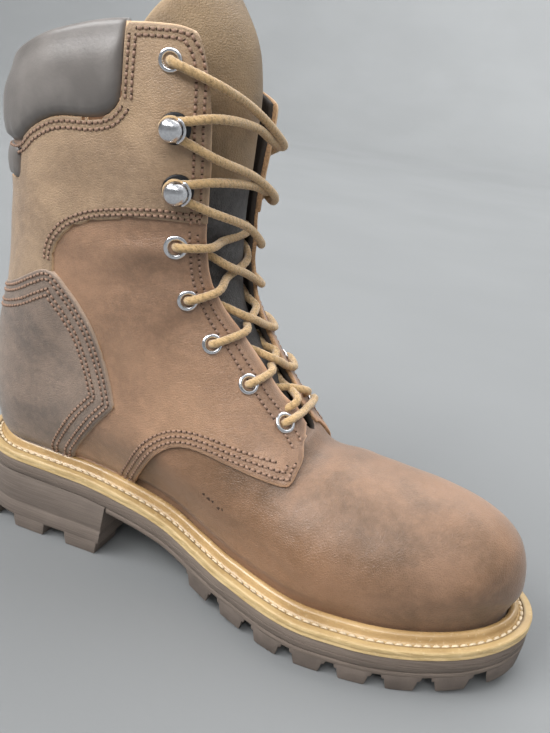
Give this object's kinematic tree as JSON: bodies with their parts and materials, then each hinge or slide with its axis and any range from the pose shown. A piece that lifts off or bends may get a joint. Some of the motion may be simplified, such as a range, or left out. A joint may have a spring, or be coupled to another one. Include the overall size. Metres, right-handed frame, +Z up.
{
  "type": "logger boot",
  "caption": "Lace-up leather work boot for the right foot: tall shaft, padded collar, welted lugged sole and a high slanted heel.",
  "frame": {"origin": "on the heel's flat rest face, on the boot's centre line", "axes": "+X to the toe, +Y to the inner (medial) side of a right boot, +Z up"},
  "size_m": [0.318, 0.1143, 0.2959],
  "materials": {
    "leather": "oiled brown nubuck",
    "leather_light": "oiled olive-tan nubuck",
    "leather_dark": "dark grey-brown oiled leather",
    "pad_leather": "smooth dark grey-brown",
    "welt": "golden, waxed",
    "rubber_band": "matt grey-brown",
    "rubber_tread": "matt dark brown",
    "insole": "matt dark brown lining",
    "metal": "bright nickel",
    "lace": "golden tan twisted cord"
  },
  "bodies": {
    "root": {"upper": "leather", "insole": "insole", "welt": "welt", "midsole": "rubber_band", "outsole": "rubber_tread", "heel": "rubber_band", "tongue": "leather_light", "heel_counter": "leather_dark", "quarter_lateral": "leather", "quarter_medial": "leather", "shaft_panel": "leather_light", "collar_pad": "pad_leather", "collar_roll": "pad_leather", "eyelet_lateral_1": "metal", "eyelet_lateral_2": "metal", "eyelet_lateral_3": "metal", "eyelet_lateral_4": "metal", "eyelet_lateral_5": "metal", "hook_lateral_6": "metal", "hook_lateral_7": "metal", "eyelet_lateral_8": "metal", "eyelet_medial_1": "metal", "eyelet_medial_2": "metal", "eyelet_medial_3": "metal", "eyelet_medial_4": "metal", "eyelet_medial_5": "metal", "hook_medial_6": "metal", "hook_medial_7": "metal", "eyelet_medial_8": "metal", "laces": "lace"}
  },
  "joints": []
}
